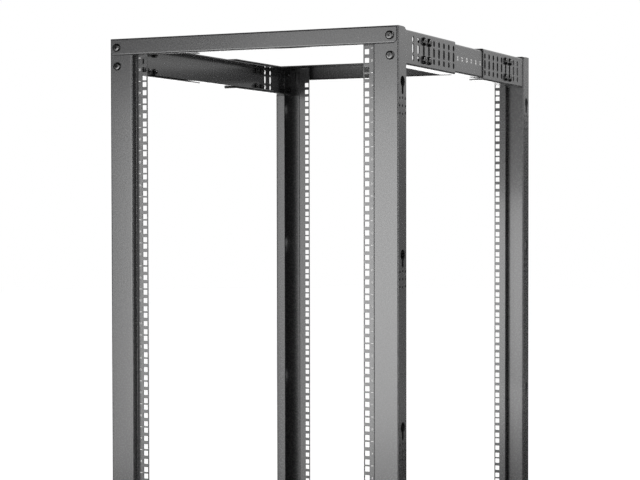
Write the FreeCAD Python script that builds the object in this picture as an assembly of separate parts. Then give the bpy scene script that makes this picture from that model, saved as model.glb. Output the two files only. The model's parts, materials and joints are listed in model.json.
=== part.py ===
"""Four post open frame rack for 19 inch equipment, 25 units tall.

Four folded posts carry the square-hole mounting rails in one piece.  A folded
header joins each pair of posts at the top and at the bottom, front and rear.
Each side beam, top and bottom, is a slide bar held between two slotted
brackets, so that the depth can be set and bolted.  Four levelling feet carry
the rack.

Millimetres.  X to the right seen from the front, Y to the rear, Z up.
The origin is on the floor, in the middle of the footprint.
"""
import FreeCAD
import Part
import math
import os

V = FreeCAD.Vector

# ---------------------------------------------------------------- driving sizes

# 19 inch equipment standard
unit_height = 44.45
unit_count = 25
hole_column_spacing = 465.1   # between the left and right hole columns
first_hole = 6.35             # lowest hole's centre above the bottom of a unit
hole_pitch = 15.875           # from each hole to the next within a unit
holes_per_unit = 3
square_hole = 9.5
hole_from_edge = 6.55         # hole column's middle to the rail's inner edge

# whole rack
post_width = 74.0             # rail's inner edge to the rack's outer side
mounting_depth = 733.0        # front rail face to rear rail face
end_margin = 37.5             # post beyond the unit space, top and bottom
foot_clearance = 32.0         # floor to the bottom of the posts

# folded sheet
sheet = 2.0
bend = 1.0                    # inner radius of every fold

# post section
rail_width = 25.0
face_proud = 14.2             # post face in front of the rail face
side_width = 40.0
lip_width = 21.5
corner_cut_along = 14.0       # chamfer on the side wall beside each beam
corner_cut_up = 6.0

# keyholes and accessory holes in the post sides
keyhole_head = 20.0
keyhole_slot = 9.0
keyhole_height = 33.0
keyhole_first = 68.0          # top of the unit space to the first keyhole's middle
keyhole_pitch_units = 7
accessory_hole = 4.5
accessory_square = 26.5       # between the pattern's corner holes
accessory_cross = 29.0        # between opposite holes of its cross
accessory_below = 20.5        # keyhole's lower end to the pattern's middle

# headers
header_height = 32.0
header_end_gap = 3.0          # header end to the rack's outer side
header_corner = 6.0           # chamfer at the outer ends of its lower edge
header_top_flange = 42.0
header_lip = 11.0             # depth of the lower flange, clear of panel ears
rail_gap = 0.3                # header's lower flange to the posts
header_clearance = 1.5        # header's top flange to the beams

# side beams
beam_height = 63.5
beam_flange = 30.0
bracket_relief = 6.0          # notch between the end tab and the flanges
slide_start = 102.0           # rail face to the slide bar's end
slide_clearance = 2.0         # above and below the slide bar in its brackets
lip_clearance = 0.5           # post lip to the beam

# depth slots in the brackets
slot_columns = 9
slot_pitch = 26.5
slot_first = 62.5             # rail face to the first column
slot_last = 9.5               # last column to the bracket's inner end
slot_width = 9.0
slot_long = 18.0
slot_short = 11.0
slot_row = 16.9               # beam middle to the outer rows
bolted_columns = (2, 3)       # columns that hold the bolts, counted from 0
slide_hole = 6.6

# frame screws, through header, post and bracket tab
screw_hole = 6.6
screw_from_side = 16.0
screw_row = 17.9              # beam middle to each screw

# levelling feet
stud_diameter = 10.0
stud_clearance = 0.5
stud_above_nut = 6.0
foot_behind_lip = 20.0
pad_diameter = 34.0
pad_height = 5.0
pad_cone = 5.0
nut_across_flats = 17.0
nut_height = 8.0

# ---------------------------------------------------------------- worked-out sizes

clear_opening = hole_column_spacing - 2 * hole_from_edge   # between the rail edges
half_width = clear_opening / 2 + post_width
front_rail = -mounting_depth / 2                 # rail face, front
post_face = front_rail - face_proud
header_face = post_face - sheet
side_end = post_face + side_width                # rear edge of the post's side wall
post_bottom = foot_clearance
units_bottom = post_bottom + end_margin
units_top = units_bottom + unit_count * unit_height
post_top = units_top + end_margin
middle_height = (post_bottom + post_top) / 2
beam_top = post_top - sheet - header_clearance
beam_middle = beam_top - beam_height / 2
beam_bottom = beam_top - beam_height
header_bottom = post_top - header_height
return_wall = clear_opening / 2 + rail_width     # post's inward side, distance from the middle
side_inner = half_width - sheet
web_inner = side_inner - sheet
bracket_reach = slot_first + (slot_columns - 1) * slot_pitch + slot_last   # from the rail face
tab_inner = side_inner - beam_flange
screw_x = half_width - screw_from_side
foot_x = side_inner - beam_flange / 2
foot_y = side_end + foot_behind_lip
flange_underside = post_bottom + sheet + header_clearance
flange_topside = flange_underside + sheet


# ---------------------------------------------------------------- helpers

def block(x0, x1, y0, y1, z0, z1):
    """Box between two corners, given in any order."""
    xs, ys, zs = sorted((x0, x1)), sorted((y0, y1)), sorted((z0, z1))
    return Part.makeBox(xs[1] - xs[0], ys[1] - ys[0], zs[1] - zs[0], V(xs[0], ys[0], zs[0]))


def shifted(points, distance):
    """The open path moved sideways to its left, with mitred corners."""
    normals = []
    for a, b in zip(points, points[1:]):
        along = (b - a).normalize()
        normals.append(V(-along.y, along.x, 0))
    moved = [points[0] + normals[0] * distance]
    for corner, n, m in zip(points[1:-1], normals, normals[1:]):
        moved.append(corner + (n + m) * (distance / (1 + n.dot(m))))
    return moved + [points[-1] + normals[-1] * distance]


def rounded(points, radii):
    """Edges along an open path, each inner corner replaced by a tangent arc."""
    edges = []
    start = points[0]
    for before, corner, after, radius in zip(points, points[1:], points[2:], radii):
        back = (before - corner).normalize()
        ahead = (after - corner).normalize()
        half_angle = back.getAngle(ahead) / 2
        reach = radius / math.tan(half_angle)
        middle = (back + ahead).normalize()
        crown = corner + middle * (radius / math.sin(half_angle) - radius)
        first, last = corner + back * reach, corner + ahead * reach
        edges.append(Part.makeLine(start, first))
        edges.append(Part.Arc(first, crown, last).toShape())
        start = last
    return edges + [Part.makeLine(start, points[-1])]


def folded(path, length):
    """Sheet folded along path (x, y pairs), drawn in XY and extruded up Z.

    The path is one skin of the sheet; the metal lies on its left."""
    skin = [V(x, y, 0) for x, y in path]
    other = shifted(skin, sheet)
    skin_radii, other_radii = [], []
    for a, b, c in zip(skin, skin[1:], skin[2:]):
        turns_left = (b - a).cross(c - b).z > 0
        skin_radii.append(bend + sheet if turns_left else bend)
        other_radii.append(bend if turns_left else bend + sheet)
    edges = rounded(skin, skin_radii) + [Part.makeLine(skin[-1], other[-1])]
    edges += rounded(other, other_radii) + [Part.makeLine(skin[0], other[0])]
    outline = Part.Wire(Part.__sortEdges__(edges))
    return Part.Face(outline).extrude(V(0, 0, length))


def obround(width, height, depth):
    """Upright slot cutter in YZ, centred, extruded both ways along X."""
    r = width / 2
    straight = (height - width) / 2
    top, bottom = V(0, 0, straight), V(0, 0, -straight)
    edges = [Part.makeLine(bottom + V(0, -r, 0), top + V(0, -r, 0)),
             Part.Arc(top + V(0, -r, 0), top + V(0, 0, r), top + V(0, r, 0)).toShape(),
             Part.makeLine(top + V(0, r, 0), bottom + V(0, r, 0)),
             Part.Arc(bottom + V(0, r, 0), bottom + V(0, 0, -r), bottom + V(0, -r, 0)).toShape()]
    slot = Part.Face(Part.Wire(edges)).extrude(V(depth, 0, 0))
    slot.translate(V(-depth / 2, 0, 0))
    return slot


def at(shape, x, y, z):
    """A copy of the shape, moved."""
    copy = shape.copy()
    copy.translate(V(x, y, z))
    return copy


def drill(diameter, x, y, z, axis):
    """Round cutter through one sheet, centred on a point."""
    depth = 4 * sheet
    return Part.makeCylinder(diameter / 2, depth, V(x, y, z) - axis * (depth / 2), axis)


def to_rear(shape):
    return shape.mirror(V(0, 0, 0), V(0, 1, 0))


def to_left(shape):
    return shape.mirror(V(0, 0, 0), V(1, 0, 0))


def to_bottom(shape):
    return shape.mirror(V(0, 0, middle_height), V(0, 0, 1))


def hexagon(across_flats, height, x, y, z):
    """Upright hexagonal prism standing at z."""
    radius = across_flats / math.sqrt(3)
    corners = [V(x + radius * math.cos(math.radians(60 * i)),
                 y + radius * math.sin(math.radians(60 * i)), z) for i in range(7)]
    return Part.Face(Part.makePolygon(corners)).extrude(V(0, 0, height))


# ---------------------------------------------------------------- posts

def rail_holes():
    """Square hole cutters of one rail, three to a unit."""
    x = hole_column_spacing / 2
    half = square_hole / 2
    cutters = []
    for unit in range(unit_count):
        for hole in range(holes_per_unit):
            z = units_bottom + unit * unit_height + first_hole + hole * hole_pitch
            cutters.append(block(x - half, x + half, front_rail - sheet,
                                 front_rail + 2 * sheet, z - half, z + half))
    return cutters


def keyhole(y, low):
    """Keyhole cutter through the side wall, its neck's lower end at low."""
    head = low + keyhole_height - keyhole_head / 2
    neck_height = head - low + keyhole_slot / 2
    neck = at(obround(keyhole_slot, neck_height, 4 * sheet), side_inner, y, low + neck_height / 2)
    return drill(keyhole_head, side_inner, y, head, V(1, 0, 0)).fuse(neck)


def accessory_holes(y, z):
    """Nine small holes: a square of four, a slightly wider cross and the middle."""
    corner, arm = accessory_square / 2, accessory_cross / 2
    places = [(0, 0), (arm, 0), (-arm, 0), (0, arm), (0, -arm)]
    places += [(corner * a, corner * b) for a in (-1, 1) for b in (-1, 1)]
    return [drill(accessory_hole, side_inner, y + dy, z + dz, V(1, 0, 0)) for dy, dz in places]


def side_holes():
    """Keyholes down the side wall, each with its accessory holes below it."""
    y = (post_face + side_end) / 2
    low = units_top - keyhole_first - keyhole_height / 2
    cutters = []
    while low - accessory_below - accessory_cross > units_bottom:
        cutters.append(keyhole(y, low))
        cutters += accessory_holes(y, low - accessory_below)
        low -= keyhole_pitch_units * unit_height
    return cutters


def beam_notches():
    """What the post leaves free at its top end for the header and the beam."""
    inner_top = post_top - sheet - bend
    under_header = block(0, side_inner, post_face - sheet, side_end + sheet, inner_top, post_top)
    lip = block(return_wall + sheet, side_inner, side_end - sheet - bend, side_end,
                beam_bottom - lip_clearance, post_top)
    corner = Part.Face(Part.makePolygon([
        V(web_inner, side_end, post_top), V(web_inner, side_end - corner_cut_along, post_top),
        V(web_inner, side_end, post_top - corner_cut_up), V(web_inner, side_end, post_top)]))
    return [under_header, lip, corner.extrude(V(half_width - web_inner, 0, 0))]


def post_front_right():
    path = [(clear_opening / 2, front_rail), (return_wall, front_rail), (return_wall, post_face),
            (half_width, post_face), (half_width, side_end), (half_width - lip_width, side_end)]
    post = at(folded(path, post_top - post_bottom), 0, 0, post_bottom)
    cutters = rail_holes() + side_holes()
    ends = beam_notches()
    ends += [to_bottom(cutter) for cutter in ends]
    for z in (beam_middle - screw_row, beam_middle + screw_row):
        screw = drill(screw_hole, screw_x, post_face, z, V(0, 1, 0))
        ends += [screw, to_bottom(screw)]
    return post.cut(cutters + ends)


# ---------------------------------------------------------------- headers

def header_front_top():
    """Folded channel across the post faces, its lower flange between the posts."""
    path = [(header_face + header_lip, header_bottom), (header_face, header_bottom),
            (header_face, post_top), (header_face + header_top_flange, post_top)]
    half_length = half_width - header_end_gap
    # drawn lying down, with Z along -Y, then stood up along X
    header = folded([(y, -z) for y, z in path], 2 * half_length)
    header.transformShape(FreeCAD.Matrix(0, 0, 1, -half_length,
                                         1, 0, 0, 0,
                                         0, -1, 0, 0,
                                         0, 0, 0, 1))
    cutters = []
    for side in (-1, 1):
        cutters.append(block(side * (return_wall - rail_gap), side * half_width, post_face,
                             front_rail, header_bottom, header_bottom + sheet + bend))
        corner = Part.Face(Part.makePolygon([
            V(side * half_length, header_face, header_bottom),
            V(side * (half_length - header_corner), header_face, header_bottom),
            V(side * half_length, header_face, header_bottom + header_corner),
            V(side * half_length, header_face, header_bottom)]))
        cutters.append(corner.extrude(V(0, sheet, 0)))
        cutters.append(drill(screw_hole, side * screw_x, header_face,
                             beam_middle + screw_row, V(0, 1, 0)))
    return header.cut(cutters)


# ---------------------------------------------------------------- side beams

def channel(height, outer_x, flange, y0, y1):
    """Channel along Y, its web outward, centred on the top beam's middle height."""
    path = [(outer_x - flange, -height / 2), (outer_x, -height / 2),
            (outer_x, height / 2), (outer_x - flange, height / 2)]
    bar = folded(path, y1 - y0)
    bar.rotate(V(0, 0, 0), V(1, 0, 0), 90)
    bar.translate(V(0, y1, beam_middle))
    return bar


def bracket_front_right():
    """Slotted bracket whose end tab is screwed behind the post face."""
    tab_face = post_face + sheet
    inner_end = front_rail + bracket_reach
    body = channel(beam_height, side_inner, beam_flange, tab_face + bracket_relief, inner_end)
    tab_height = beam_height - 2 * (sheet + bend)
    tab = folded([(tab_inner, tab_face), (side_inner, tab_face),
                  (side_inner, tab_face + bracket_relief + sheet)], tab_height)
    tab.translate(V(0, 0, beam_middle - tab_height / 2))
    cutters = []
    for column in range(slot_columns):
        y = front_rail + slot_first + column * slot_pitch
        cutters.append(at(obround(slot_width, slot_long, 4 * sheet), side_inner, y, beam_middle))
        for row in (-slot_row, slot_row):
            cutters.append(at(obround(slot_width, slot_short, 4 * sheet),
                              side_inner, y, beam_middle + row))
    for row in (-screw_row, screw_row):
        cutters.append(drill(screw_hole, screw_x, tab_face, beam_middle + row, V(0, 1, 0)))
    return body.fuse(tab).removeSplitter().cut(cutters)


def slide_bar_right():
    """Plain channel that slides in both brackets and carries the depth marks."""
    start = front_rail + slide_start
    bar = channel(beam_height - 2 * (sheet + slide_clearance), web_inner,
                  beam_flange - sheet, start, -start)
    cutters = []
    for column in bolted_columns:
        y = front_rail + slot_first + column * slot_pitch
        for row in (-slot_row, slot_row):
            hole = drill(slide_hole, web_inner, y, beam_middle + row, V(1, 0, 0))
            cutters += [hole, to_rear(hole)]
    return bar.cut(cutters)


# ---------------------------------------------------------------- levelling feet

def levelling_foot():
    """Round pad and threaded stud, front right."""
    stud_top = flange_topside + nut_height + stud_above_nut
    r_pad, r_stud = pad_diameter / 2, stud_diameter / 2
    profile = [V(0, 0, 0), V(r_pad, 0, 0), V(r_pad, 0, pad_height),
               V(r_stud + sheet, 0, pad_height + pad_cone), V(r_stud, 0, pad_height + pad_cone),
               V(r_stud, 0, stud_top), V(0, 0, stud_top), V(0, 0, 0)]
    foot = Part.Face(Part.makePolygon(profile)).revolve(V(0, 0, 0), V(0, 0, 1), 360)
    return at(foot, foot_x, foot_y, 0)


def foot_nut():
    """Nut welded on the lower bracket's flange, on the foot's stud."""
    nut = hexagon(nut_across_flats, nut_height, foot_x, foot_y, flange_topside)
    return nut.cut(Part.makeCylinder(stud_diameter / 2, nut_height, V(foot_x, foot_y, flange_topside)))


def lower_bracket_front_right():
    """The top bracket turned over, with the hole for the foot's stud."""
    bracket = to_bottom(bracket_front_right())
    hole = drill(stud_diameter + stud_clearance, foot_x, foot_y, flange_underside, V(0, 0, 1))
    return bracket.cut(hole)


# ---------------------------------------------------------------- assembly

def corners(name, front_right):
    """Four nodes from the front right one, by mirroring."""
    front, back, left, right = "front", "rear", "left", "right"
    return {
        f"{name}_{front}_{right}": front_right,
        f"{name}_{front}_{left}": to_left(front_right),
        f"{name}_{back}_{right}": to_rear(front_right),
        f"{name}_{back}_{left}": to_rear(to_left(front_right)),
    }


def build_nodes():
    nodes = corners("post", post_front_right())
    header = header_front_top()
    nodes["header_front_top"] = header
    nodes["header_rear_top"] = to_rear(header)
    nodes["header_front_bottom"] = to_bottom(header)
    nodes["header_rear_bottom"] = to_rear(to_bottom(header))
    nodes.update(corners("top_bracket", bracket_front_right()))
    nodes.update(corners("bottom_bracket", lower_bracket_front_right()))
    slide = slide_bar_right()
    for level, bar in (("top", slide), ("bottom", to_bottom(slide))):
        nodes[f"{level}_slide_bar_right"] = bar
        nodes[f"{level}_slide_bar_left"] = to_left(bar)
    nodes.update(corners("levelling_foot", levelling_foot()))
    nodes.update(corners("foot_nut", foot_nut()))
    return nodes


os.makedirs("parts", exist_ok=True)
for node, shape in build_nodes().items():
    if shape.ShapeType != "Solid":
        shape = shape.Solids[0]
    shape.exportStep(f"parts/{node}.step")
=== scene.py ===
"""Finish and small hardware of the four post open frame rack, 25 units tall.

Metres.  X to the right seen from the front, Y to the rear, Z up, on the floor.
"""
import json
import math
import random

import bpy
from mathutils import Matrix, Vector


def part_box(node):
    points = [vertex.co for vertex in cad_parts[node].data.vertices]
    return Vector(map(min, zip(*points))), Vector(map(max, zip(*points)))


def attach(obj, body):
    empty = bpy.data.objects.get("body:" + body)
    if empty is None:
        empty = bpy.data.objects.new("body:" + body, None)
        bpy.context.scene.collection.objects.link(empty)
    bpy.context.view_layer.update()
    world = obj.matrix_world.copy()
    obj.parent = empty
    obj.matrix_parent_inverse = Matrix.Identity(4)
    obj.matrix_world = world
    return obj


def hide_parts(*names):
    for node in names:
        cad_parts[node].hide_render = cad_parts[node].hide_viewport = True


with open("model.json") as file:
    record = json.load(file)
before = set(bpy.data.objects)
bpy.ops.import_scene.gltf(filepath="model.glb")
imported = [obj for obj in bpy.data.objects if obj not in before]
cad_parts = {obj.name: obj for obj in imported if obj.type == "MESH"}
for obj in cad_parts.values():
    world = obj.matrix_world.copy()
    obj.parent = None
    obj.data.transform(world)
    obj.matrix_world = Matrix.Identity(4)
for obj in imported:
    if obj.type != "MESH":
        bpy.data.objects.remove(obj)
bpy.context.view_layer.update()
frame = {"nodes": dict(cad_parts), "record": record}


# ---------------------------------------------------------------- folded steel frame
# Posts, headers, brackets and slide bars: 2 mm steel sheet, punched, folded and
# sprayed with dark grey polyester powder.  Baking leaves a satin skin with a very
# fine grain over a soft orange peel.  The arrises and cut edges are made near black
# and dull: partly the thinner coat there, partly painted shade standing in for the
# shadow in the slots, at cut ends and in the gaps between parts.

MM = 0.001
coat_grey = (0.036, 0.036, 0.037, 1)
# near black of the arrises: partly the thinner coat, partly painted shade for slots, cut ends and
# gaps
thin_coat_and_shade = (0.005, 0.005, 0.005, 1)
coat_roughness = 0.27
coat_unevenness = 0.02                     # either way, in roughness and in the mix of greys
coat_gloss = 0.25                          # share of the skin that flows out glassy
skin_roughness = 0.12                      # of that glassy share
coat_grain = 0.7 * MM
coat_peel = 3.2 * MM
coat_drift = 140 * MM
peel_share = 0.55                          # of the relief; the rest is grain
relief_depth = 0.03 * MM
relief_strength = 0.07
# how far the arrises go towards that near black, in part a painted shade
edge_thin_and_shade = 0.9
edge_roughness = 1.0
edge_reach = 1.1 * MM
post_edge_reach = 0.7 * MM
post_edge_share = 0.95                     # of that painted shade and thin coat darkening, and of the dulling, on the posts


def put(tree, kind, x, y, **settings):
    """A node at a place in the tree; a setting is a property, or an input's value by name."""
    node = tree.nodes.new(kind)
    node.location = (x, y)
    for name, value in settings.items():
        if hasattr(node, name):
            setattr(node, name, value)
        else:
            node.inputs[name.replace("_", " ")].default_value = value
    return node


def powder_skin():
    """Node group: the grain, peel and slow drift of a baked powder coat."""
    group = bpy.data.node_groups.new("powder_skin", "ShaderNodeTree")
    sizes = ("Grain Size", "Peel Size", "Drift Size")
    for name in sizes:
        group.interface.new_socket(name, in_out="INPUT", socket_type="NodeSocketFloat")
    for name in ("Height", "Drift", "Gloss"):
        group.interface.new_socket(name, in_out="OUTPUT", socket_type="NodeSocketFloat")
    start = put(group, "NodeGroupInput", -900, 0)
    end = put(group, "NodeGroupOutput", 500, 0)
    place = put(group, "ShaderNodeTexCoord", -900, 300)
    patterns = []
    for row, name in enumerate(sizes):
        per_metre = put(group, "ShaderNodeMath", -650, -200 * row, operation="DIVIDE")
        per_metre.inputs[0].default_value = 1
        noise = put(group, "ShaderNodeTexNoise", -400, -200 * row, Detail=row + 1, Roughness=0.5)
        group.links.new(start.outputs[name], per_metre.inputs[1])
        group.links.new(per_metre.outputs[0], noise.inputs["Scale"])
        group.links.new(place.outputs["Object"], noise.inputs["Vector"])
        patterns.append(noise.outputs["Fac"])
    grain, peel, drift = patterns
    height = put(group, "ShaderNodeMix", 50, 150, Factor=peel_share)
    group.links.new(grain, height.inputs["A"])
    group.links.new(peel, height.inputs["B"])
    gloss = put(group, "ShaderNodeMapRange", 50, -150)
    gloss.inputs["From Min"].default_value = 0.3
    gloss.inputs["From Max"].default_value = 0.7
    group.links.new(peel, gloss.inputs["Value"])
    group.links.new(height.outputs["Result"], end.inputs["Height"])
    group.links.new(drift, end.inputs["Drift"])
    group.links.new(gloss.outputs["Result"], end.inputs["Gloss"])
    return group


def soft_edges():
    """Node group: the rounded normal of the arrises, and a mask that is 1 along them."""
    group = bpy.data.node_groups.new("soft_edges", "ShaderNodeTree")
    group.interface.new_socket("Reach", in_out="INPUT", socket_type="NodeSocketFloat")
    group.interface.new_socket("Edge", in_out="OUTPUT", socket_type="NodeSocketFloat")
    group.interface.new_socket("Normal", in_out="OUTPUT", socket_type="NodeSocketVector")
    start = put(group, "NodeGroupInput", -800, 0)
    end = put(group, "NodeGroupOutput", 400, 0)
    rounded = put(group, "ShaderNodeBevel", -550, 0, samples=4)
    flat = put(group, "ShaderNodeNewGeometry", -550, -250)
    alike = put(group, "ShaderNodeVectorMath", -300, 0, operation="DOT_PRODUCT")
    mask = put(group, "ShaderNodeMapRange", -50, 0)
    mask.inputs["From Min"].default_value = 0.99         # cosine of the turn where it starts
    mask.inputs["From Max"].default_value = 0.80         # and where it is full
    group.links.new(start.outputs["Reach"], rounded.inputs["Radius"])
    group.links.new(rounded.outputs["Normal"], alike.inputs[0])
    group.links.new(flat.outputs["Normal"], alike.inputs[1])
    group.links.new(alike.outputs["Value"], mask.inputs["Value"])
    group.links.new(mask.outputs["Result"], end.inputs["Edge"])
    group.links.new(rounded.outputs["Normal"], end.inputs["Normal"])
    return group


def new_material(name):
    """An empty node material and its tree, Principled shader and output."""
    material = bpy.data.materials.new(name)
    material.use_nodes = True
    tree = material.node_tree
    tree.nodes.clear()
    shader = put(tree, "ShaderNodeBsdfPrincipled", 500, 0)
    output = put(tree, "ShaderNodeOutputMaterial", 800, 0)
    tree.links.new(shader.outputs["BSDF"], output.inputs["Surface"])
    return material, tree, shader


skin_group = powder_skin()
edge_group = soft_edges()


def powder_coat(name, reach, share):
    """Dark grey powder coat.  Its arrises go dark and dull by the share, as far in
    as the reach: partly the thinner coat there, partly painted shade for the
    slots, cut ends and gaps between parts."""
    material, tree, shader = new_material(name)
    shader.inputs["Coat Roughness"].default_value = skin_roughness
    skin = put(tree, "ShaderNodeGroup", -500, 0, node_tree=skin_group, Grain_Size=coat_grain,
               Peel_Size=coat_peel, Drift_Size=coat_drift)
    edges = put(tree, "ShaderNodeGroup", -500, 350, node_tree=edge_group, Reach=reach)
    # painted shade along the arrises, together with the thinner coat there
    thin_and_shade = put(tree, "ShaderNodeMath", -250, 350, operation="MULTIPLY")
    thin_and_shade.inputs[1].default_value = edge_thin_and_shade * share
    slow = put(tree, "ShaderNodeMapRange", -250, 150)
    slow.inputs["To Min"].default_value = -coat_unevenness
    slow.inputs["To Max"].default_value = coat_unevenness
    both = put(tree, "ShaderNodeMath", -50, 250, operation="ADD", use_clamp=True)
    colour = put(tree, "ShaderNodeMix", 150, 250, data_type="RGBA")
    colour.inputs["A"].default_value = coat_grey
    colour.inputs["B"].default_value = thin_coat_and_shade
    rough = put(tree, "ShaderNodeMapRange", 150, 0)
    rough.inputs["To Min"].default_value = coat_roughness - coat_unevenness
    rough.inputs["To Max"].default_value = coat_roughness + coat_unevenness
    dull = put(tree, "ShaderNodeMix", 320, 0)
    dull.inputs["B"].default_value = coat_roughness + (edge_roughness - coat_roughness) * share
    glassy = put(tree, "ShaderNodeMapRange", 320, -150)
    glassy.inputs["To Min"].default_value = coat_gloss
    glassy.inputs["To Max"].default_value = coat_gloss * (1 - share)
    bump = put(tree, "ShaderNodeBump", 150, -250, Strength=relief_strength, Distance=relief_depth)
    tree.links.new(edges.outputs["Edge"], thin_and_shade.inputs[0])
    tree.links.new(skin.outputs["Drift"], slow.inputs["Value"])
    tree.links.new(thin_and_shade.outputs[0], both.inputs[0])
    tree.links.new(slow.outputs["Result"], both.inputs[1])
    tree.links.new(both.outputs[0], colour.inputs["Factor"])
    tree.links.new(colour.outputs["Result"], shader.inputs["Base Color"])
    tree.links.new(skin.outputs["Gloss"], rough.inputs["Value"])
    tree.links.new(edges.outputs["Edge"], dull.inputs["Factor"])
    tree.links.new(rough.outputs["Result"], dull.inputs["A"])
    tree.links.new(dull.outputs["Result"], shader.inputs["Roughness"])
    tree.links.new(edges.outputs["Edge"], glassy.inputs["Value"])
    tree.links.new(glassy.outputs["Result"], shader.inputs["Coat Weight"])
    # metallic with the near black also takes away the arrises' reflection: painted shade
    tree.links.new(thin_and_shade.outputs[0], shader.inputs["Metallic"])
    tree.links.new(skin.outputs["Height"], bump.inputs["Height"])
    tree.links.new(edges.outputs["Normal"], bump.inputs["Normal"])
    tree.links.new(bump.outputs["Normal"], shader.inputs["Normal"])
    return material


def finish_with(piece, material):
    """The whole piece in one material."""
    piece.data.materials.clear()
    piece.data.materials.append(material)


coat = powder_coat("powder_coat", edge_reach, 1)
post_coat = powder_coat("post_powder_coat", post_edge_reach, post_edge_share)
for name, node in frame["nodes"].items():
    if name.startswith("post"):
        finish_with(node, post_coat)
    elif name.startswith(("header", "top_", "bottom_")):
        finish_with(node, coat)


# ---------------------------------------------------------------- unit marks on the rails
# Each rail carries its unit numbers and a short line between units, screen
# printed in white epoxy ink on the strip between the square holes and the fold.
# They are read from outside, so the rear rails have theirs on the rear faces.

unit_height = 44.45 * MM
unit_count = 25
end_margin = 37.5 * MM                     # post's end to the first unit
mark_from_edge = 16.7 * MM                 # from the rail's edge
number_height = 4.3 * MM
number_condensed = 0.80
number_bold = 0.02
line_size = (4.6 * MM, 1.0 * MM)
ink_thickness = 0.06 * MM
ink_thin = (0.74, 0.74, 0.73, 1)
ink_full = (0.90, 0.90, 0.89, 1)
ink_roughness = 0.45
screen_mesh = 1400                         # marks of the mesh a metre
post_low, post_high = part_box("post_rear_right")
mounts = {mount["name"]: mount for mount in frame["record"]["mounts"]}
rail_face = mounts["rail_face_rear_right"]["pos_m"][1]
units_bottom = post_low.z + end_margin
mark_x = post_low.x + mark_from_edge


def printed_white():
    """White epoxy ink, a little uneven where the screen's mesh shows."""
    material, tree, shader = new_material("white_ink")
    place = put(tree, "ShaderNodeTexCoord", -500, 0)
    weave = put(tree, "ShaderNodeTexNoise", -300, 0, Scale=screen_mesh, Detail=2)
    colour = put(tree, "ShaderNodeMix", 0, 100, data_type="RGBA")
    colour.inputs["A"].default_value = ink_thin
    colour.inputs["B"].default_value = ink_full
    shader.inputs["Roughness"].default_value = ink_roughness
    tree.links.new(place.outputs["Object"], weave.inputs["Vector"])
    tree.links.new(weave.outputs["Fac"], colour.inputs["Factor"])
    tree.links.new(colour.outputs["Result"], shader.inputs["Base Color"])
    return material


def nothing_selected():
    """Out of edit mode, with every object deselected."""
    if bpy.context.object and bpy.context.object.mode == "EDIT":
        bpy.ops.object.mode_set(mode="OBJECT")
    bpy.ops.object.select_all(action="DESELECT")


def number(text, height, condensed, bold):
    """A plain number as a thin solid lying in XY, centred on the origin.  Its width is
    multiplied by condensed, and its strokes swell by bold, a share of the type size."""
    nothing_selected()
    bpy.ops.object.text_add()
    letters = bpy.context.object
    letters.data.body = text
    letters.data.align_x = "CENTER"
    letters.data.align_y = "CENTER"
    letters.data.size = 1
    letters.data.offset = bold
    letters.data.resolution_u = 2
    bpy.ops.object.convert(target="MESH")
    flat = bpy.context.object
    low = [min(v.co[i] for v in flat.data.vertices) for i in range(2)]
    high = [max(v.co[i] for v in flat.data.vertices) for i in range(2)]
    size = height / (high[1] - low[1])
    to_middle = Matrix.Translation((-(low[0] + high[0]) / 2, -(low[1] + high[1]) / 2, 0))
    flat.data.transform(Matrix.Diagonal((size * condensed, size, 1, 1)) @ to_middle)
    raise_ink(flat)
    return flat


def raise_ink(flat):
    """Gives a flat print its thickness, upwards from Z = 0."""
    nothing_selected()
    flat.select_set(True)
    bpy.context.view_layer.objects.active = flat
    bpy.ops.object.mode_set(mode="EDIT")
    bpy.ops.mesh.select_all(action="SELECT")
    bpy.ops.mesh.remove_doubles(threshold=0.00001)
    bpy.ops.mesh.normals_make_consistent(inside=False)
    bpy.ops.mesh.extrude_region_move(TRANSFORM_OT_translate={"value": (0, 0, ink_thickness)})
    bpy.ops.mesh.select_all(action="SELECT")
    bpy.ops.mesh.normals_make_consistent(inside=False)
    bpy.ops.object.mode_set(mode="OBJECT")


def line(width, height):
    """A short printed line lying in XY, centred on the origin."""
    nothing_selected()
    bpy.ops.mesh.primitive_plane_add(size=1)
    flat = bpy.context.object
    flat.data.transform(Matrix.Diagonal((width, height, 1, 1)))
    raise_ink(flat)
    return flat


def joined(name, pieces):
    """Several meshes as one piece at the origin."""
    nothing_selected()
    for piece in pieces:
        piece.select_set(True)
    bpy.context.view_layer.objects.active = pieces[0]
    bpy.ops.object.join()
    whole = bpy.context.object
    whole.name = whole.data.name = name
    return whole


def duplicate(piece, name, move):
    """A copy with its own mesh, moved by a matrix."""
    twin = piece.copy()
    twin.data = piece.data.copy()
    bpy.context.scene.collection.objects.link(twin)
    twin.data.transform(move)
    twin.name = twin.data.name = name
    return twin


ink = printed_white()
facing_front = Matrix.Rotation(math.radians(90), 4, "X")      # XY stood up to face -Y
half_turn = Matrix.Rotation(math.radians(180), 4, "Z")
for side, x in (("left", -mark_x), ("right", mark_x)):
    prints = []
    for unit in range(unit_count):
        digits = number(str(unit + 1), number_height, number_condensed, number_bold)
        z = units_bottom + (unit + 0.5) * unit_height
        digits.data.transform(Matrix.Translation((x, -rail_face, z)) @ facing_front)
        prints.append(digits)
    for boundary in range(unit_count + 1):
        dash = line(*line_size)
        z = units_bottom + boundary * unit_height
        dash.data.transform(Matrix.Translation((x, -rail_face, z)) @ facing_front)
        prints.append(dash)
    marks = joined(f"unit_marks_front_{side}", prints)
    finish_with(marks, ink)
    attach(marks, "root")
    other = "right" if side == "left" else "left"
    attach(duplicate(marks, f"unit_marks_rear_{other}", half_turn), "root")


# ---------------------------------------------------------------- depth marks on the slide bars
# Between its brackets each slide bar shows the numbers by which both sides are
# set to the same depth: white ink, on end, one slot pitch apart.

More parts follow.
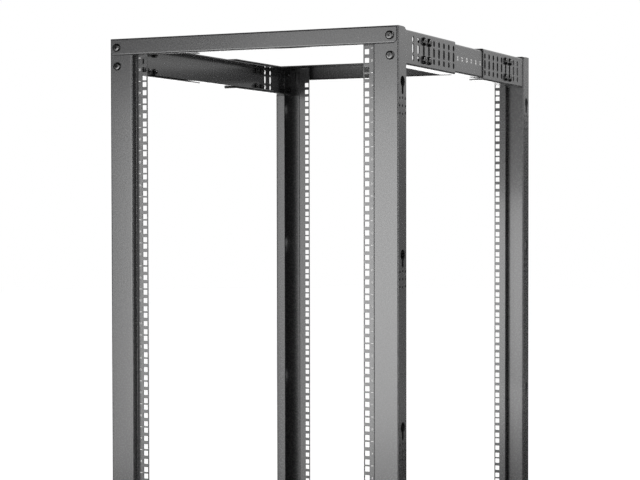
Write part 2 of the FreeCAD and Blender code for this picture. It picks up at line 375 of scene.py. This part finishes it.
slot_pitch = 26.5 * MM
first_depth_mark = -63.9 * MM
depth_numbers = ("26", "27", "28", "29", "30", "31")
depth_number_height = 7.0 * MM
depth_number_widened = 1.15
depth_number_bold = 0.035
slide_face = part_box("top_slide_bar_right")[1].x
beam_middles = {level: sum(corner.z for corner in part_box(f"{level}_slide_bar_right")) / 2
                for level in ("top", "bottom")}

facing_right = Matrix.Rotation(math.radians(90), 4, "Z") @ facing_front
on_end = Matrix.Rotation(math.radians(90), 4, "Z")
prints = []
for column, text in enumerate(depth_numbers):
    digits = number(text, depth_number_height, depth_number_widened, depth_number_bold)
    y = first_depth_mark + column * slot_pitch
    place = Matrix.Translation((slide_face, y, beam_middles["top"]))
    digits.data.transform(place @ facing_right @ on_end)
    prints.append(digits)
depth_marks = joined("depth_marks_top_right", prints)
finish_with(depth_marks, ink)
down = Matrix.Translation((0, 0, beam_middles["bottom"] - beam_middles["top"]))
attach(depth_marks, "root")
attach(duplicate(depth_marks, "depth_marks_top_left", half_turn), "root")
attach(duplicate(depth_marks, "depth_marks_bottom_right", down), "root")
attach(duplicate(depth_marks, "depth_marks_bottom_left", down @ half_turn), "root")


# ---------------------------------------------------------------- frame screws
# M6 pan head screws with a cross recess, blackened steel, two at each end of
# each header: the outer one through header, post and bracket tab, the inner one
# through post and tab.  A hexagon nut holds each behind the tab.

sheet = 2 * MM
screw_from_side = 16 * MM
screw_row = 17.9 * MM                      # beam middle to each screw
head_diameter = 16 * MM
head_height = 4.4 * MM
crown_share = 0.72                         # of a head's height that is rounded
recess_width = 8.0 * MM
recess_slot = 1.9 * MM
recess_depth = 2.8 * MM
recess_taper = 0.45                        # its floor's width, share of its mouth's
thread_diameter = 6 * MM
thread_pitch = 1.0 * MM
thread_depth = 0.6                         # share of the pitch
thread_crest = 0.15                        # flat on top, share of the pitch
nut_flats = 10 * MM
nut_height = 5 * MM
nut_face = 0.95                            # round face in the chamfer, share of the flats
nut_chamfer = math.radians(30)
thread_beyond_nut = 3 * MM
black_steel = (0.006, 0.006, 0.006, 1)
rubbed_steel = (0.09, 0.09, 0.092, 1)
rubbed_reach = 0.35 * MM
rubbed_share = 0.5
black_clouds = (420, 3)                    # a metre, and their detail
black_roughness = (0.10, 0.22)
black_specular = 0.65
black_relief = (0.25, 0.1 * MM)            # strength and depth
screw_x = post_high.x - screw_from_side
header_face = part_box("header_rear_top")[1].y
post_face = post_high.y
bracket_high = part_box("top_bracket_rear_right")[1]
tab_back = bracket_high.y - sheet
corners = [(front, side) for front in ("front", "rear") for side in ("left", "right")]


def plated_cloud():
    """Node group: the cloudy gloss of plated steel, between a smooth and a dull value."""
    group = bpy.data.node_groups.new("plated_cloud", "ShaderNodeTree")
    for name in ("Scale", "Detail", "Smooth", "Dull"):
        group.interface.new_socket(name, in_out="INPUT", socket_type="NodeSocketFloat")
    for name in ("Height", "Roughness"):
        group.interface.new_socket(name, in_out="OUTPUT", socket_type="NodeSocketFloat")
    start = put(group, "NodeGroupInput", -600, 0)
    end = put(group, "NodeGroupOutput", 300, 0)
    place = put(group, "ShaderNodeTexCoord", -600, 250)
    cloud = put(group, "ShaderNodeTexNoise", -350, 0)
    rough = put(group, "ShaderNodeMapRange", 0, 0)
    group.links.new(place.outputs["Object"], cloud.inputs["Vector"])
    group.links.new(start.outputs["Scale"], cloud.inputs["Scale"])
    group.links.new(start.outputs["Detail"], cloud.inputs["Detail"])
    group.links.new(cloud.outputs["Fac"], rough.inputs["Value"])
    group.links.new(start.outputs["Smooth"], rough.inputs["To Min"])
    group.links.new(start.outputs["Dull"], rough.inputs["To Max"])
    group.links.new(cloud.outputs["Fac"], end.inputs["Height"])
    group.links.new(rough.outputs["Result"], end.inputs["Roughness"])
    return group


cloud_group = plated_cloud()


def plated(name, clouds, roughness, relief):
    """Plated steel: a material with its cloudy gloss and relief, and no colour yet."""
    material, tree, shader = new_material(name)
    cloud = put(tree, "ShaderNodeGroup", -500, -150, node_tree=cloud_group, Scale=clouds[0],
                Detail=clouds[1], Smooth=roughness[0], Dull=roughness[1])
    bump = put(tree, "ShaderNodeBump", 150, -250, Strength=relief[0], Distance=relief[1])
    tree.links.new(cloud.outputs["Roughness"], shader.inputs["Roughness"])
    tree.links.new(cloud.outputs["Height"], bump.inputs["Height"])
    tree.links.new(bump.outputs["Normal"], shader.inputs["Normal"])
    return material, tree, shader


def blackened_steel():
    """Black zinc over steel: dark, rather glossy, rubbed a little on the arrises."""
    material, tree, shader = plated("black_zinc", black_clouds, black_roughness, black_relief)
    shader.inputs["Specular IOR Level"].default_value = black_specular
    edges = put(tree, "ShaderNodeGroup", -500, 300, node_tree=edge_group, Reach=rubbed_reach)
    rubbed = put(tree, "ShaderNodeMath", -250, 300, operation="MULTIPLY")
    rubbed.inputs[1].default_value = rubbed_share
    colour = put(tree, "ShaderNodeMix", 0, 200, data_type="RGBA")
    colour.inputs["A"].default_value = black_steel
    colour.inputs["B"].default_value = rubbed_steel
    tree.links.new(edges.outputs["Edge"], rubbed.inputs[0])
    tree.links.new(rubbed.outputs[0], colour.inputs["Factor"])
    tree.links.new(colour.outputs["Result"], shader.inputs["Base Color"])
    return material


def select_faces(piece, wanted):
    """In edit mode, selects the faces whose centre and normal pass the test."""
    bpy.ops.object.mode_set(mode="EDIT")
    bpy.ops.mesh.select_mode(type="FACE")
    bpy.ops.mesh.select_all(action="DESELECT")
    bpy.ops.object.mode_set(mode="OBJECT")
    for face in piece.data.polygons:
        face.select = wanted(face.center, face.normal)
    bpy.ops.object.mode_set(mode="EDIT")


def apply_boolean(piece, tool, operation):
    """Cuts with, or keeps what is shared with, another closed mesh, which is then removed."""
    nothing_selected()
    piece.select_set(True)
    bpy.context.view_layer.objects.active = piece
    modifier = piece.modifiers.new("cut", "BOOLEAN")
    modifier.operation = operation
    modifier.solver = "EXACT"
    modifier.object = tool
    bpy.ops.object.modifier_apply(modifier=modifier.name)
    bpy.data.objects.remove(tool)


def recessed_head(diameter, height):
    """A pan head with its underside on Z = 0, facing up, cross recess in its crown."""
    nothing_selected()
    bpy.ops.mesh.primitive_cylinder_add(vertices=32, radius=diameter / 2, depth=height,
                                        location=(0, 0, height / 2))
    head = bpy.context.object
    bpy.ops.object.transform_apply()
    select_faces(head, lambda centre, normal: normal.z > 0.9)
    bpy.ops.mesh.bevel(offset=height * crown_share, segments=5, profile=0.5, affect="EDGES")
    bpy.ops.object.mode_set(mode="OBJECT")
    nothing_selected()
    bpy.ops.mesh.primitive_cube_add(size=1)
    cross = bpy.context.object
    cross.data.transform(Matrix.Translation((0, 0, height))
                         @ Matrix.Diagonal((recess_slot, recess_slot, 2 * recess_depth, 1)))
    select_faces(cross, lambda centre, normal: abs(normal.z) < 0.1)
    bpy.ops.mesh.extrude_faces_move(
        TRANSFORM_OT_shrink_fatten={"value": (recess_width - recess_slot) / 2})
    bpy.ops.object.mode_set(mode="OBJECT")
    select_faces(cross, lambda centre, normal: normal.z < -0.9)
    bpy.ops.transform.resize(value=(recess_taper, recess_taper, 1),
                             center_override=(0, 0, height - recess_depth))
    bpy.ops.mesh.select_all(action="SELECT")
    bpy.ops.mesh.normals_make_consistent(inside=False)
    bpy.ops.object.mode_set(mode="OBJECT")
    apply_boolean(head, cross, "DIFFERENCE")
    return head


def hexagon_nut(flats, height, bore):
    """A nut standing on Z = 0 with chamfers at both ends and a round bore."""
    nothing_selected()
    bpy.ops.mesh.primitive_cylinder_add(vertices=6, radius=flats / math.sqrt(3), depth=height,
                                        location=(0, 0, height / 2))
    nut = bpy.context.object
    bpy.ops.object.transform_apply()
    across_corners = 2 * flats / math.sqrt(3)
    chamfer = (across_corners - flats * nut_face) / 2
    slope = chamfer * math.tan(nut_chamfer)
    ratio = (across_corners / 2 - chamfer) / (across_corners / 2)
    nothing_selected()
    bpy.ops.mesh.primitive_cylinder_add(vertices=48, radius=across_corners / 2, depth=height,
                                        location=(0, 0, height / 2))
    turned = bpy.context.object
    bpy.ops.object.transform_apply()
    for top in (True, False):
        select_faces(turned, lambda centre, normal: normal.z > 0.9 if top else normal.z < -0.9)
        rise = slope if top else -slope
        bpy.ops.mesh.extrude_region_move(TRANSFORM_OT_translate={"value": (0, 0, rise)})
        bpy.ops.transform.resize(value=(ratio, ratio, 1))
        bpy.ops.transform.translate(value=(0, 0, -rise))
        bpy.ops.object.mode_set(mode="OBJECT")
        for vertex in turned.data.vertices:
            outer = math.hypot(vertex.co.x, vertex.co.y) > across_corners / 2 * 0.99
            if outer and (vertex.co.z > height / 2) == top:
                vertex.co.z = height - slope if top else slope
    apply_boolean(nut, turned, "INTERSECT")
    nothing_selected()
    bpy.ops.mesh.primitive_cylinder_add(vertices=24, radius=bore / 2, depth=height * 2,
                                        location=(0, 0, height / 2))
    drilled = bpy.context.object
    bpy.ops.object.transform_apply()
    apply_boolean(nut, drilled, "DIFFERENCE")
    return nut


def threaded_end(diameter, start, stop, pitch):
    """A bolt's thread along Z between two heights, with a chamfered point at the lower end."""
    nothing_selected()
    depth = thread_depth * pitch
    core_radius = diameter / 2 - 0.9 * depth              # a little past the root of the tooth
    bpy.ops.mesh.primitive_plane_add(size=1)
    tooth = bpy.context.object
    tooth.data.transform(Matrix.Translation((diameter / 2 - depth / 2, 0, stop + pitch / 2))
                         @ Matrix.Rotation(math.radians(90), 4, "X")
                         @ Matrix.Diagonal((depth, pitch, 1, 1)))
    bpy.ops.object.mode_set(mode="EDIT")
    bpy.ops.mesh.select_mode(type="VERT")
    bpy.ops.mesh.select_all(action="DESELECT")
    bpy.ops.object.mode_set(mode="OBJECT")
    for vertex in tooth.data.vertices:
        vertex.select = vertex.co.x > diameter / 2 - depth / 2
    bpy.ops.object.mode_set(mode="EDIT")
    bpy.ops.transform.resize(value=(1, 1, thread_crest))
    bpy.ops.object.mode_set(mode="OBJECT")
    wind = tooth.modifiers.new("wind", "SCREW")
    wind.axis = "Z"
    wind.steps = wind.render_steps = 16
    wind.screw_offset = pitch
    wind.iterations = max(1, round((start - stop) / pitch) - 1)
    wind.use_merge_vertices = True
    bpy.ops.object.modifier_apply(modifier=wind.name)
    nothing_selected()
    bpy.ops.mesh.primitive_cylinder_add(vertices=16, radius=core_radius, depth=start - stop + pitch,
                                        location=(0, 0, (start + stop - pitch) / 2))
    core = bpy.context.object
    bpy.ops.object.transform_apply()
    select_faces(core, lambda centre, normal: abs(normal.z) > 0.9)
    bpy.ops.mesh.bevel(offset=depth * 0.8, segments=2, affect="EDGES")
    bpy.ops.object.mode_set(mode="OBJECT")
    return joined("thread", [tooth, core])


def tidy_mesh(piece):
    """Merged, outward and smooth over its curved faces."""
    nothing_selected()
    piece.select_set(True)
    bpy.context.view_layer.objects.active = piece
    bpy.ops.object.mode_set(mode="EDIT")
    bpy.ops.mesh.select_all(action="SELECT")
    bpy.ops.mesh.remove_doubles(threshold=0.000001)
    bpy.ops.mesh.normals_make_consistent(inside=False)
    bpy.ops.object.mode_set(mode="OBJECT")
    bpy.ops.object.shade_smooth_by_angle(angle=math.radians(35))


black_zinc = blackened_steel()
head = recessed_head(head_diameter, head_height)
nut = hexagon_nut(nut_flats, nut_height, thread_diameter)
thread = threaded_end(thread_diameter, 0, -nut_height - thread_beyond_nut, thread_pitch)
for piece in (head, nut, thread):
    tidy_mesh(piece)

turns = random.Random(7)


def screw_and_nut(head, at, away, grip):
    """One screw with its head on a face at a place, its axis along away, and its nut
    the grip's length behind.  Head and nut stop at their own chance angles."""
    outward = Vector(away).to_track_quat("Z", "Y").to_matrix().to_4x4()
    place = Matrix.Translation(at) @ outward
    behind = Matrix.Translation((0, 0, -grip))
    turned = [Matrix.Rotation(turns.uniform(0, 2 * math.pi), 4, "Z") for _ in range(3)]
    nut_seat = behind @ Matrix.Translation((0, 0, -nut_height))
    return joined("screw", [
        duplicate(head, "head", place @ turned[0]),
        duplicate(nut, "nut", place @ nut_seat @ turned[1]),
        duplicate(thread, "thread", place @ behind @ turned[2])])


for front, side in corners:
    for level in ("top", "bottom"):
        out = -1 if front == "front" else 1
        x = screw_x if side == "right" else -screw_x
        towards_header = 1 if level == "top" else -1
        middle = beam_middles[level]
        screws = [
            screw_and_nut(head, (x, out * header_face, middle + towards_header * screw_row),
                          (0, out, 0), header_face - tab_back),
            screw_and_nut(head, (x, out * post_face, middle - towards_header * screw_row),
                          (0, out, 0), post_face - tab_back)]
        pair = joined(f"frame_screws_{level}_{front}_{side}", screws)
        finish_with(pair, black_zinc)
        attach(pair, "root")


# ---------------------------------------------------------------- depth bolts of the side beams
# Four M6 screws a bracket clamp it to the slide bar, through the second pair of
# slots in both outer rows.  They are of the same black steel, with slightly
# taller heads, and their nuts are inside the slide bar.

bolt_columns = (2, 3)                      # slots counted from 0 at the post
slot_first = 62.5 * MM                     # rail face to the first column
slot_row = 16.9 * MM                       # beam middle to the outer rows
bolt_head_height = 5.5 * MM
bracket_face = bracket_high.x
slide_inside = slide_face - sheet

bolt_head = recessed_head(head_diameter, bolt_head_height)
tidy_mesh(bolt_head)
for front, side in corners:
    for level in ("top", "bottom"):
        out = 1 if side == "right" else -1
        bolts = []
        for column in bolt_columns:
            y = rail_face - slot_first - column * slot_pitch
            y = -y if front == "front" else y
            for row in (-slot_row, slot_row):
                at = (out * bracket_face, y, beam_middles[level] + row)
                bolts.append(screw_and_nut(bolt_head, at, (out, 0, 0), bracket_face - slide_inside))
        four = joined(f"depth_bolts_{level}_{front}_{side}", bolts)
        finish_with(four, black_zinc)
        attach(four, "root")
for pattern in (head, bolt_head, nut, thread):
    bpy.data.objects.remove(pattern)


# ---------------------------------------------------------------- levelling feet
# A pressed and turned steel pad riveted to an M10 stud.  The stud screws into
# the nut welded on the lower bracket, and a jam nut under the flange locks it.
# All of it is bright zinc plated.

pad_diameter = 34 * MM
pad_height = 5 * MM
pad_cone = 5 * MM
pad_rim = 0.9 * MM
boss_radius = 11 * MM
boss_share = 0.6                           # of the cone's height
boss_land = 1.5 * MM                       # flat round the stud
boss_taper = 0.72                          # its top's radius, share of its foot's
stud_diameter = 10 * MM
stud_pitch = 1.5 * MM
stud_point = 1.5 * MM
foot_nut_flats = 17 * MM
foot_nut_height = 8 * MM
jam_nut_height = 6 * MM
zinc_dark = (0.50, 0.51, 0.53, 1)
zinc_pale = (0.62, 0.63, 0.64, 1)
zinc_clouds = (160, 4)                     # a metre, and their detail
zinc_roughness = (0.22, 0.45)
zinc_relief = (0.15, 0.1 * MM)             # strength and depth
spangles = 700                             # a metre
foot_low, foot_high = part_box("levelling_foot_rear_right")
foot_x = (foot_low.x + foot_high.x) / 2
foot_y = (foot_low.y + foot_high.y) / 2
stud_top = foot_high.z
foot_nut_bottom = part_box("foot_nut_rear_right")[0].z
jam_nut_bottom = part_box("bottom_bracket_rear_right")[0].z - jam_nut_height


def zinc_plate():
    """Bright zinc: pale, slightly blue, its spangle and handling marks in the gloss."""
    material, tree, shader = plated("zinc_plate", zinc_clouds, zinc_roughness, zinc_relief)
    shader.inputs["Metallic"].default_value = 1.0
    place = put(tree, "ShaderNodeTexCoord", -700, 150)
    spangle = put(tree, "ShaderNodeTexVoronoi", -500, 150, Scale=spangles)
    colour = put(tree, "ShaderNodeMix", 0, 200, data_type="RGBA")
    colour.inputs["A"].default_value = zinc_dark
    colour.inputs["B"].default_value = zinc_pale
    tree.links.new(place.outputs["Object"], spangle.inputs["Vector"])
    tree.links.new(spangle.outputs["Color"], colour.inputs["Factor"])
    tree.links.new(colour.outputs["Result"], shader.inputs["Base Color"])
    return material


def foot_pad():
    """The round pad with its crowned rim and the boss that holds the stud."""
    nothing_selected()
    bpy.ops.mesh.primitive_cylinder_add(vertices=48, radius=pad_diameter / 2, depth=pad_height,
                                        location=(0, 0, pad_height / 2))
    pad = bpy.context.object
    bpy.ops.object.transform_apply()
    select_faces(pad, lambda centre, normal: normal.z > 0.9)
    bpy.ops.mesh.inset(thickness=pad_diameter / 2 - boss_radius)
    bpy.ops.mesh.extrude_region_move(TRANSFORM_OT_translate={"value": (0, 0, pad_cone * boss_share)})
    bpy.ops.transform.resize(value=(boss_taper, boss_taper, 1))
    bpy.ops.mesh.extrude_region_move(
        TRANSFORM_OT_translate={"value": (0, 0, pad_cone * (1 - boss_share))})
    bpy.ops.mesh.inset(thickness=boss_land)
    bpy.ops.object.mode_set(mode="OBJECT")
    rim = pad.modifiers.new("rim", "BEVEL")
    rim.width = pad_rim
    rim.segments = 2
    rim.limit_method = "ANGLE"
    rim.angle_limit = math.radians(40)
    bpy.ops.object.modifier_apply(modifier=rim.name)
    return pad


zinc = zinc_plate()
pad = foot_pad()
stud = threaded_end(stud_diameter, stud_top - stud_point, pad_height + pad_cone, stud_pitch)
foot = joined("foot", [pad, stud])
weld_nut = hexagon_nut(foot_nut_flats, foot_nut_height, stud_diameter)
jam_nut = hexagon_nut(foot_nut_flats, jam_nut_height, stud_diameter)
for piece in (foot, weld_nut, jam_nut):
    tidy_mesh(piece)
for front, side in corners:
    x = foot_x if side == "right" else -foot_x
    y = foot_y if front == "rear" else -foot_y
    turned = Matrix.Rotation(turns.uniform(0, 2 * math.pi), 4, "Z")
    on_floor, nut_seat, jam_seat = (Matrix.Translation((x, y, z))
                                    for z in (0, foot_nut_bottom, jam_nut_bottom))
    stand = duplicate(foot, f"foot_{front}_{side}", on_floor @ turned)
    welded = duplicate(weld_nut, f"weld_nut_{front}_{side}", nut_seat)
    jam = duplicate(jam_nut, f"jam_nut_{front}_{side}", jam_seat @ turned)
    for piece in (stand, welded, jam):
        finish_with(piece, zinc)
        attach(piece, "root")
    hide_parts(f"levelling_foot_{front}_{side}")
    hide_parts(f"foot_nut_{front}_{side}")
for pattern in (foot, weld_nut, jam_nut):
    bpy.data.objects.remove(pattern)


# ---------------------------------------------------------------- studio
# A white floor and white surroundings, a broad soft lamp in front and a little
# to the left, low enough to fill the rails, and a small one high on the right.
# Dark flags and bright cards stand round the rack for its coat to mirror.

floor_radius = 14
floor_white = (0.8, 0.8, 0.8, 1)
floor_glow = (0.62, 0.62, 0.62, 1)
world_fill = 0.45


def white_floor():
    """Matt white, lit up to paper white for the eye and for gloss, clear from below."""
    material, tree, shader = new_material("studio_floor")
    shader.inputs["Roughness"].default_value = 0.9
    shader.inputs["Base Color"].default_value = floor_white
    shader.inputs["Specular IOR Level"].default_value = 0.1
    rays = put(tree, "ShaderNodeLightPath", 0, 400)
    seen = put(tree, "ShaderNodeMath", 200, 400, operation="MAXIMUM")
    glow = put(tree, "ShaderNodeEmission", 500, 300, Strength=1)
    glow.inputs["Color"].default_value = floor_glow
    both = put(tree, "ShaderNodeAddShader", 700, 100)
    mix = put(tree, "ShaderNodeMixShader", 900, 0)
    output = next(n for n in tree.nodes if n.type == "OUTPUT_MATERIAL")
    output.location = (1500, 0)
    below = put(tree, "ShaderNodeNewGeometry", 900, 300)
    clear = put(tree, "ShaderNodeBsdfTransparent", 1100, -150)
    sided = put(tree, "ShaderNodeMixShader", 1300, 0)
    tree.links.new(rays.outputs["Is Camera Ray"], seen.inputs[0])
    tree.links.new(rays.outputs["Is Glossy Ray"], seen.inputs[1])
    tree.links.new(shader.outputs["BSDF"], both.inputs[0])
    tree.links.new(glow.outputs["Emission"], both.inputs[1])
    tree.links.new(seen.outputs[0], mix.inputs["Fac"])
    tree.links.new(shader.outputs["BSDF"], mix.inputs[1])
    tree.links.new(both.outputs["Shader"], mix.inputs[2])
    tree.links.new(below.outputs["Backfacing"], sided.inputs["Fac"])
    tree.links.new(mix.outputs["Shader"], sided.inputs[1])
    tree.links.new(clear.outputs["BSDF"], sided.inputs[2])
    tree.links.new(sided.outputs["Shader"], output.inputs["Surface"])
    return material


nothing_selected()
bpy.ops.mesh.primitive_circle_add(vertices=96, radius=floor_radius, fill_type="NGON")
floor = bpy.context.object
floor.name = "studio_floor"
finish_with(floor, white_floor())

world = bpy.data.worlds.new("studio")
bpy.context.scene.world = world
world.use_nodes = True
tree = world.node_tree
tree.nodes.clear()
rays = put(tree, "ShaderNodeLightPath", -700, 300)
camera_or_gloss = put(tree, "ShaderNodeMath", -450, 300, operation="MAXIMUM")
seen = put(tree, "ShaderNodeMath", -250, 300, operation="MAXIMUM")
fill = put(tree, "ShaderNodeBackground", -250, 50, Strength=world_fill)
fill.inputs["Color"].default_value = (1, 1, 1, 1)
white = put(tree, "ShaderNodeBackground", -250, -100, Strength=1)
white.inputs["Color"].default_value = (1, 1, 1, 1)
mix = put(tree, "ShaderNodeMixShader", 0, 0)
output = put(tree, "ShaderNodeOutputWorld", 200, 0)
tree.links.new(rays.outputs["Is Camera Ray"], camera_or_gloss.inputs[0])
tree.links.new(rays.outputs["Is Glossy Ray"], camera_or_gloss.inputs[1])
tree.links.new(camera_or_gloss.outputs[0], seen.inputs[0])
tree.links.new(rays.outputs["Is Transmission Ray"], seen.inputs[1])
tree.links.new(seen.outputs[0], mix.inputs["Fac"])
tree.links.new(fill.outputs["Background"], mix.inputs[1])
tree.links.new(white.outputs["Background"], mix.inputs[2])
tree.links.new(mix.outputs["Shader"], output.inputs["Surface"])


def soft_lamp(name, at, towards, width, height, watts):
    """An oblong lamp at a place, turned towards another."""
    lamp = bpy.data.lights.new(name, "AREA")
    lamp.shape = "RECTANGLE"
    lamp.size = width
    lamp.size_y = height
    lamp.energy = watts
    holder = bpy.data.objects.new(name, lamp)
    bpy.context.scene.collection.objects.link(holder)
    holder.location = at
    holder.rotation_euler = (Vector(towards) - Vector(at)).to_track_quat("-Z", "Y").to_euler()


soft_lamp("front_lamp", (-1.05, -3.4, 0.66), (-1.05, 0, 0.66), 2.11, 1.32, 61)
soft_lamp("high_lamp", (2.6, 0.2, 3.1), (0.3, 0, 1.0), 0.5, 0.5, 45)


def flag(name, at, towards, width, height, tone):
    """A panel of an even tone that only the gloss of the coat can see, from its own side."""
    nothing_selected()
    bpy.ops.mesh.primitive_plane_add(size=1)
    panel = bpy.context.object
    panel.name = name
    turned = (Vector(towards) - Vector(at)).to_track_quat("Z", "Y").to_matrix().to_4x4()
    panel.data.transform(Matrix.Translation(at) @ turned @ Matrix.Diagonal((width, height, 1, 1)))
    material, tree, shader = new_material(name)
    shader.inputs["Base Color"].default_value = (0, 0, 0, 1)
    shader.inputs["Specular IOR Level"].default_value = 0
    shader.inputs["Emission Color"].default_value = (1, 1, 1, 1)
    shader.inputs["Emission Strength"].default_value = tone
    faced = put(tree, "ShaderNodeNewGeometry", 0, 0)
    own_side = put(tree, "ShaderNodeMath", 200, 0, operation="SUBTRACT")
    own_side.inputs[0].default_value = 1
    tree.links.new(faced.outputs["Backfacing"], own_side.inputs[1])
    tree.links.new(own_side.outputs[0], shader.inputs["Alpha"])
    material.cycles.emission_sampling = "NONE"
    finish_with(panel, material)
    panel.visible_camera = panel.visible_diffuse = panel.visible_shadow = False


# behind the rack and on its floor, for the sides and the undersides
flag("flag_rear_middle", (1.25, 4.3, 0.675), (1.25, 0, 0.675), 1.0, 1.25, 0.02)
flag("flag_rear_high", (1.5, 4.3, 1.6), (1.5, 0, 1.6), 0.5, 0.5, 0.55)
flag("flag_rear_right", (2.9, 4.3, 0.7), (2.9, 0, 0.7), 2.3, 1.4, 0.3)
flag("card_rear_high", (2.3, 4.3, 1.65), (2.3, 0, 1.65), 0.7, 0.5, 1.2)
flag("card_rear_left", (-2.05, 4.5, 0.78), (-2.05, 0, 0.78), 4.7, 1.5, 2.6)
flag("flag_floor_rear", (0.2, 3.0, 0.012), (0.2, 3.0, 1), 2.5, 4.0, 0.02)
flag("flag_floor_far", (1.95, 3.5, 0.012), (1.95, 3.5, 1), 1.0, 1.8, 0.52)
flag("flag_floor_right", (2.0, 0.5, 0.01), (2.0, 0.5, 1), 3.2, 4.2, 0.03)
flag("flag_floor_front", (-1.0, -0.3, 0.014), (-1.0, -0.3, 1), 3.0, 2.6, 0.02)
flag("card_floor_front", (-0.9, -2.85, 0.016), (-0.9, -2.85, 1), 2.4, 1.0, 4.5)
# in the bay and beside it, for the rear posts and the rear header
flag("flag_bay", (0, -0.33, 1.02), (0, 0, 1.02), 0.54, 0.2, 0.2)
flag("flag_bay_low", (0, -0.33, 0.67), (0, 0, 0.67), 0.54, 0.5, 4.2)
flag("flag_bay_left", (-0.6, -0.33, 0.65), (-0.6, 0, 0.65), 0.3, 1.2, 2.9)
flag("flag_keyholes", (-0.342, 0.28, 0.65), (-0.342, 1, 0.65), 0.024, 1.15, 0.02)
flag("flag_bay_high", (0, -0.33, 1.27), (0, 0, 1.27), 0.54, 0.3, 0.03)
# in front, to the sides and above, for the faces and their folds
flag("card_front_high", (-0.45, -3.6, 1.7), (-0.45, 0, 1.7), 2.5, 0.7, 2.4)
flag("card_front_edge", (0.95, -3.4, 0.7), (0.95, 0, 0.7), 1.1, 1.4, 4.0)
flag("flag_front_right", (2.6, -2.6, 1.2), (0.3, -0.3, 1.2), 3.4, 3.6, 0.02)
flag("card_right", (3.1, -1.5, 1.1), (0.3, -0.3, 1.1), 0.8, 2.6, 8.0)
flag("flag_left", (-3.3, -0.6, 1.9), (0, -0.6, 1.9), 5.6, 3.8, 0.02)
flag("flag_front_high", (0, -3.7, 2.8), (0, 0, 2.8), 6.6, 2.8, 0.02)
flag("flag_top", (0, -1.0, 3.4), (0, -1.0, 0), 6.6, 5.4, 0.02)

camera_place = (1.4172, -3.1312, 0.9047)
camera_turn = (88.667, 0.100, 24.809)      # degrees
camera_data = bpy.data.cameras.new("camera")
camera_data.sensor_width = 36
camera_data.lens = 93.5
camera_data.clip_end = 100
camera = bpy.data.objects.new("camera", camera_data)
bpy.context.scene.collection.objects.link(camera)
camera.location = camera_place
camera.rotation_euler = [math.radians(angle) for angle in camera_turn]
bpy.context.scene.camera = camera
bpy.context.scene.view_settings.view_transform = "Standard"
